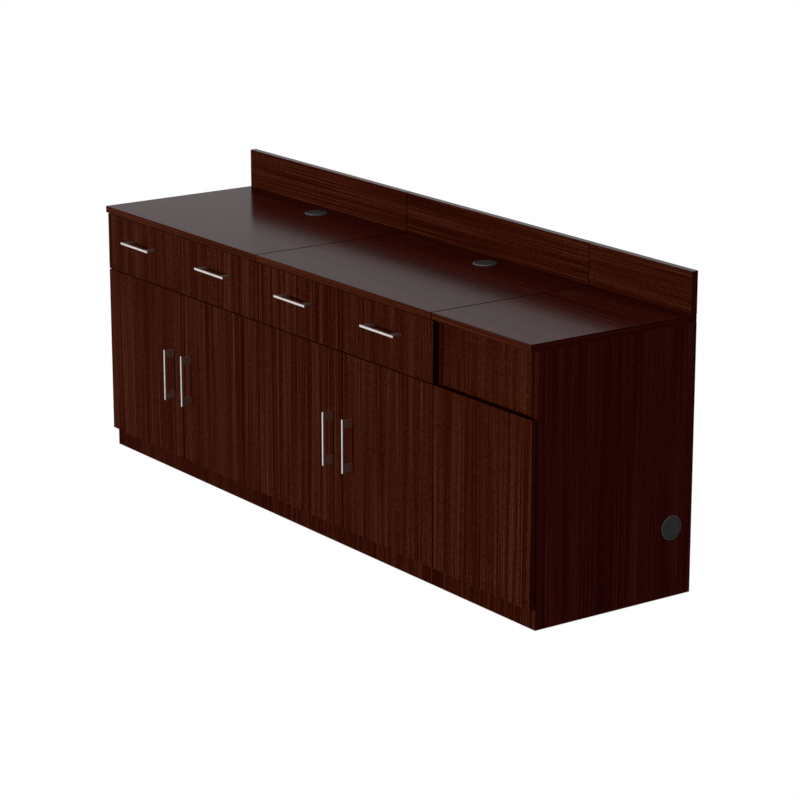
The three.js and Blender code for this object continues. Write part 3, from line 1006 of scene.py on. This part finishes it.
def addHinges(node, door, turn):
    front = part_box("waste_side_left")[0].y
    cabinet = node.split("_")[0]
    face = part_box(cabinet + "_side_left")[1].x if turn > 0 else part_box(cabinet + "_side_right")[0].x
    arms, cups, links = bmesh.new(), bmesh.new(), bmesh.new()
    for spot in cupSpots(door, turn):
        hingeArm(arms, face, turn, front, spot.z)
        hingeCup(cups, spot, turn)
        joinTo(links, hingeLink(face, turn, spot.x, front, spot.z))
    for bm, label in ((arms, "arms"), (cups, "cups"), (links, "links")):
        tidyNormals(bm, node + label)
    piece = placeSteel(node + "_arms", arms, "cabinet")
    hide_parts(node)
    placeSteel(door + "_cups", cups, bodyOf[door])
    piece = placeSteel(door + "_links", links, None)
    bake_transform(piece)


def cupHoles(door, turn):
    # round recesses for the hinge cups in the back of a door
    cup, hole = hinge["cup"], hinge["hole"]
    radius, deep, over = cup["radius"] + hole["round"], cup["depth"] + hole["under"], hole["over"]
    bm = bmesh.new()
    for spot in cupSpots(door, turn):
        rows = [(0, -deep), (radius, -deep), (radius, over), (0, over)]
        joinTo(bm, turned(rows, cup["steps"]), aim(spot, outward))
    return bm


def carve(piece, tool):
    # cuts the tool's shape out of the piece, without its evened shading
    mesh = bpy.data.meshes.new("carving")
    tool.to_mesh(mesh)
    tool.free()
    cutter = bpy.data.objects.new("carving", mesh)
    bpy.context.scene.collection.objects.link(cutter)
    cut = piece.modifiers.new("carve", "BOOLEAN")
    cut.operation = "DIFFERENCE"
    cut.solver = "EXACT"
    cut.object = cutter
    even = piece.modifiers["evenShading"]
    even.show_viewport = False
    carved = bpy.data.meshes.new_from_object(piece.evaluated_get(bpy.context.evaluated_depsgraph_get()))
    piece.modifiers.remove(cut)
    even.show_viewport = True
    old = piece.data
    piece.data = carved
    carved.name = old.name
    bpy.data.meshes.remove(old)
    bpy.data.objects.remove(cutter)
    bpy.data.meshes.remove(mesh)


# Small fittings

bumper = {
    "radius": 4 * mm, "rise": 1.8 * mm, "fromEdge": 12 * mm, "heights": (71.5 * mm, 605 * mm), "steps": 24,
    "dome": ((1.0, 0.0), (1.0, 0.5), (0.85, 0.85), (0.55, 1.0), (0.0, 1.0)),  # shares of radius and rise
}


def addBumpers(door, turn):
    low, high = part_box(door)
    edge = high.x - bumper["fromEdge"] if turn > 0 else low.x + bumper["fromEdge"]
    rows = [(0, 0)] + [(out * bumper["radius"], up * bumper["rise"]) for out, up in bumper["dome"]]
    bm = bmesh.new()
    for z in bumper["heights"]:
        joinTo(bm, turned(rows, bumper["steps"]), aim(Vector((edge, high.y, z)), outward))
    layGrain(bm, upright, door)
    place(door + "_bumpers", bm, bodyOf[door], ["clearBumper"])


shelfPin = {
    "radius": 2.5 * mm, "collar": 3.75 * mm, "collarSide": 0.8 * mm, "collarTop": 1.1 * mm,
    "reach": 9 * mm, "soft": 0.5 * mm, "fromEnd": 60 * mm, "steps": 20,
}


def addShelfPins(cabinet):
    low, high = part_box(cabinet + "_shelf")
    walls = ((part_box(cabinet + "_side_left")[1].x, 1), (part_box(cabinet + "_side_right")[0].x, -1))
    radius, collar, reach, soft = (shelfPin[key] for key in ("radius", "collar", "reach", "soft"))
    rows = [
        (0, 0), (collar, 0), (collar, shelfPin["collarSide"]), (radius, shelfPin["collarTop"]),
        (radius, reach - soft), (radius - soft, reach), (0, reach),
    ]
    bm = bmesh.new()
    for face, turn in walls:
        for y in (low.y + shelfPin["fromEnd"], high.y - shelfPin["fromEnd"]):
            spot = Vector((face, y, low.z - collar))
            joinTo(bm, turned(rows, shelfPin["steps"]), aim(spot, (turn, 0, 0)))
    tidyNormals(bm, cabinet + "pins")
    placeSteel(cabinet + "_shelf_pins", bm, "cabinet")


# screws through each back into the deck's edge, and in a wide cabinet into the drawer deck's too
backScrew = {
    "wide": {"count": 5, "heights": (71.5 * mm, 605.5 * mm)},
    "narrow": {"count": 3, "heights": (71.5 * mm,)},
    "sunk": 1.2 * mm,
}


def addBackScrews(cabinet):
    low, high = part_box(cabinet + "_back")
    pattern = backScrew["wide" if cabinet in wideCabinets else "narrow"]
    spots = []
    for z in pattern["heights"]:
        for step in range(pattern["count"]):
            x = low.x + (high.x - low.x) * (step + 0.5) / pattern["count"]
            spots.append(Vector((x, high.y - backScrew["sunk"], z)))
    addScrews(cabinet + "_back_screws", spots, "cabinet")


latch = {
    "wide": 16 * mm, "long": 46 * mm, "high": 14 * mm, "soft": 1.0 * mm, "segments": 3,
    "fromFree": 70 * mm, "fromFront": 4 * mm,
    "plunger": {"radius": 4.2 * mm, "root": 3 * mm, "reach": 4 * mm, "soft": 0.6 * mm, "steps": 24},
    "plate": {"wide": 18 * mm, "high": 26 * mm, "thick": 0.8 * mm, "soft": 0.3 * mm, "gap": 0.05 * mm},
}


def addLatch():
    # a push latch under the rail, as the waste door has no pull
    wide, high, plunger = latch["wide"], latch["high"], latch["plunger"]
    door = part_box("waste_door")
    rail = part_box("waste_rail")
    x = door[0].x + latch["fromFree"]
    front = rail[0].y + latch["fromFront"]
    top = rail[0].z - restGap
    bm = bmesh.new()
    low, far = (x - wide / 2, front, top - high), (x + wide / 2, front + latch["long"], top)
    addBlock(bm, low, far, latch["soft"], latch["segments"])
    radius, root, reach, soft = (plunger[key] for key in ("radius", "root", "reach", "soft"))
    rows = [(0, -root), (radius, -root), (radius, reach - soft), (radius - soft, reach), (0, reach)]
    joinTo(bm, turned(rows, plunger["steps"]), aim(Vector((x, front, top - high / 2)), (0, -1, 0)))
    tidyNormals(bm, "latch")
    place("waste_latch", bm, "cabinet", ["blackPlastic"])
    addLatchPlate(x, door[1].y, top - high / 2)


def addLatchPlate(x, back, z):
    plate = latch["plate"]
    bm = bmesh.new()
    low = Vector((x - plate["wide"] / 2, back + plate["gap"], z - plate["high"] / 2))
    addBlock(bm, low, low + Vector((plate["wide"], plate["thick"], plate["high"])), plate["soft"])
    tidyNormals(bm, "latchPlate")
    placeSteel("waste_latch_plate", bm, "waste_door")


def addFittings():
    for cabinet in wideCabinets:
        addSlides(cabinet)
        addShelfPins(cabinet)
        for side, turn in zip(sides, (1, -1)):
            addDrawerBox(f"{cabinet}_drawer_box_{side}", f"{cabinet}_drawer_pull_{side}")
            door, pullNode = f"{cabinet}_door_{side}", f"{cabinet}_door_pull_{side}"
            addHinges(f"{cabinet}_hinges_{side}", door, turn)
            addBumpers(door, turn)
            addPullScrews(door + "_screws", pullNode, (0, 0, 1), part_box(door)[1].y, bodyOf[door])
            carve(bpy.data.objects[door + "_board"], cupHoles(door, turn))
    addHinges("waste_hinges", "waste_door", -1)
    addBumpers("waste_door", -1)
    carve(bpy.data.objects["waste_door_board"], cupHoles("waste_door", -1))
    for cabinet in wideCabinets + ("waste",):
        addBackScrews(cabinet)
    addFlapPins()
    addLatch()
    print("fittings made")


# Lights, floor and background

studio = {
    "soft": 0.05,  # even light from all round
    "fills": ((0.84, 0.45, 0.30), (-0.84, 0.45, 0.30)),  # soft light on the end panels and the worktop
    "fillStrength": 0.62,
    "bright": (-0.90, -0.42, 0.0),  # the bright side of the studio, as gloss and metal see it
    "glossRange": (0.16, 0.92),
    "glossReach": (-0.30, 0.45),
    "keyFrom": (-0.06, -0.99, 0.06),
    "keyDistance": 8,
    "keySpread": 11,  # degrees across
    "keyStrength": 2.5,
    "floorSize": 200,
    "floorDrop": 0.2 * mm,
    "contact": 3 * mm,  # reach of the painted contact shadow, a dark line where a panel meets the floor
    "contactSamples": 8,
}


def makeWorld():
    world = bpy.data.worlds.new("studio")
    world.use_nodes = True
    tree = world.node_tree
    background = tree.nodes["Background"]
    background.inputs["Color"].default_value = (1, 1, 1, 1)
    ray = addNode(tree, "ShaderNodeLightPath")
    around = addNode(tree, "ShaderNodeTexCoord")
    facing = []
    for direction in (studio["bright"], *studio["fills"]):
        turn = addNode(tree, "ShaderNodeVectorMath", operation="DOT_PRODUCT")
        feed(tree, turn.inputs[0], around.outputs["Generated"])
        turn.inputs[1].default_value = Vector(direction).normalized()
        facing.append(turn.outputs["Value"])
    wash = spread(tree, facing[0], *studio["glossReach"], *studio["glossRange"])
    even = studio["soft"]
    for lit in facing[1:]:
        even = calc(tree, "ADD", even, spread(tree, lit, 0, 1, 0, studio["fillStrength"]))
    light = addNode(tree, "ShaderNodeMix", data_type="FLOAT")
    for index, value in ((0, ray.outputs["Is Glossy Ray"]), (2, even), (3, wash)):
        feed(tree, light.inputs[index], value)
    # the camera sees plain white
    strength = calc(tree, "MAXIMUM", light.outputs[0], ray.outputs["Is Camera Ray"])
    feed(tree, background.inputs["Strength"], strength)
    bpy.context.scene.world = world


def makeKeyLight():
    data = bpy.data.lights.new("keyLight", "SUN")
    data.energy = studio["keyStrength"]
    data.angle = math.radians(studio["keySpread"])
    light = bpy.data.objects.new("keyLight", data)
    light.location = Vector(studio["keyFrom"]) * studio["keyDistance"]
    light.rotation_euler = Vector(studio["keyFrom"]).to_track_quat("Z", "Y").to_euler()
    light.visible_glossy = False  # gloss and metal see the studio's bright side instead
    bpy.context.scene.collection.objects.link(light)


def makeFloor():
    bm = bmesh.new()
    bmesh.ops.create_grid(bm, x_segments=1, y_segments=1, size=studio["floorSize"] / 2)
    mesh = bpy.data.meshes.new("floor")
    bm.to_mesh(mesh)
    bm.free()
    material, tree, shader = newMaterial("paleFloor")
    tree.nodes.remove(shader)
    # the floor's white is darkened near the panels by ambient occlusion, a painted contact shadow
    shade = addNode(tree, "ShaderNodeAmbientOcclusion", samples=studio["contactSamples"])
    shade.inputs["Distance"].default_value = studio["contact"]
    glow = addNode(tree, "ShaderNodeEmission")
    feed(tree, glow.inputs["Color"], shade.outputs["Color"])
    feed(tree, tree.nodes["Material Output"].inputs["Surface"], glow.outputs[0])
    mesh.materials.append(material)
    floor = bpy.data.objects.new("floor", mesh)
    floor.location.z = -studio["floorDrop"]
    floor.visible_diffuse = False
    floor.visible_glossy = False
    floor.visible_shadow = False
    bpy.context.scene.collection.objects.link(floor)


makeCamera()
makeWorld()
makeKeyLight()
makeFloor()
addBoards()
addFlap()
addPulls()
addGrommets()
addFittings()

bpy.context.scene.view_settings.view_transform = "Standard"
